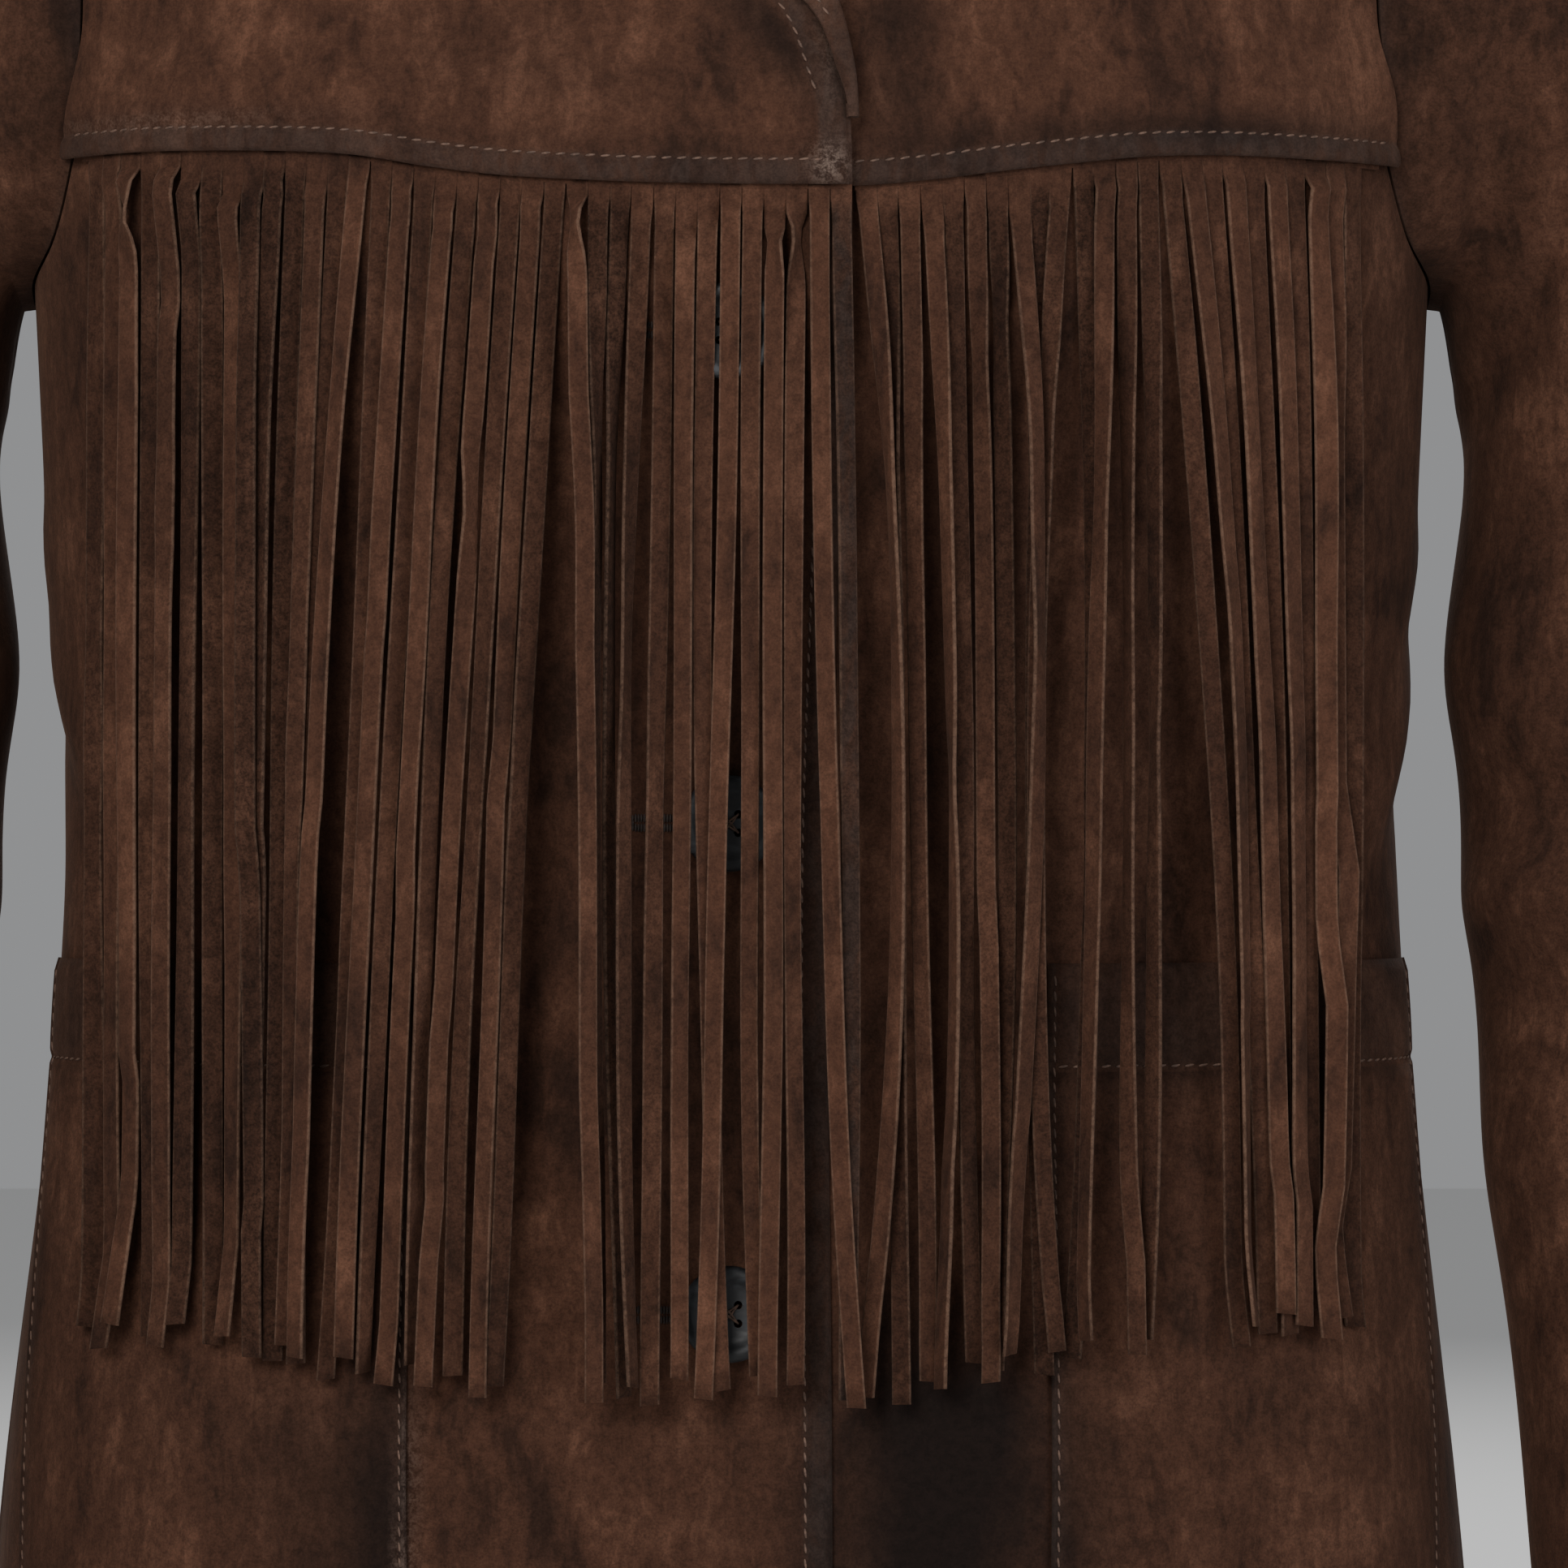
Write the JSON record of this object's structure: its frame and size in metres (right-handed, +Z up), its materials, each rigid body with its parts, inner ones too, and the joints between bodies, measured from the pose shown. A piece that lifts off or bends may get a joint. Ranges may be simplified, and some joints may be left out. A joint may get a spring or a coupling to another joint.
{
  "type": "fringed suede jacket",
  "caption": "Hip-length hollow suede jacket with notched collar, lapped buttoned front, patch pockets and long cut fringe hanging from the front yokes.",
  "frame": {"origin": "between the shoulder seams at the neck, where the wearer's shoulders hold the jacket", "axes": "+Z up, the front faces -Y, +X towards the wearer's left"},
  "size_m": [0.5984, 0.2717, 0.6803],
  "materials": {
    "suede": "napped suede, dark brown, mottled",
    "suede_strips": "cut suede strips, dark brown",
    "horn": "marbled dark grey, horn-like, polished",
    "thread": "waxed thread"
  },
  "bodies": {
    "root": {"front_right": "suede", "front_left": "suede", "back": "suede", "yoke_right": "suede", "yoke_left": "suede", "sleeve_right": "suede", "sleeve_left": "suede", "pocket_right": "suede", "pocket_left": "suede", "lapel_right": "suede", "lapel_left": "suede", "collar": "suede", "fringe_right": "suede_strips", "fringe_left": "suede_strips", "button_1": "horn", "button_2": "horn", "button_3": "horn"}
  },
  "joints": []
}
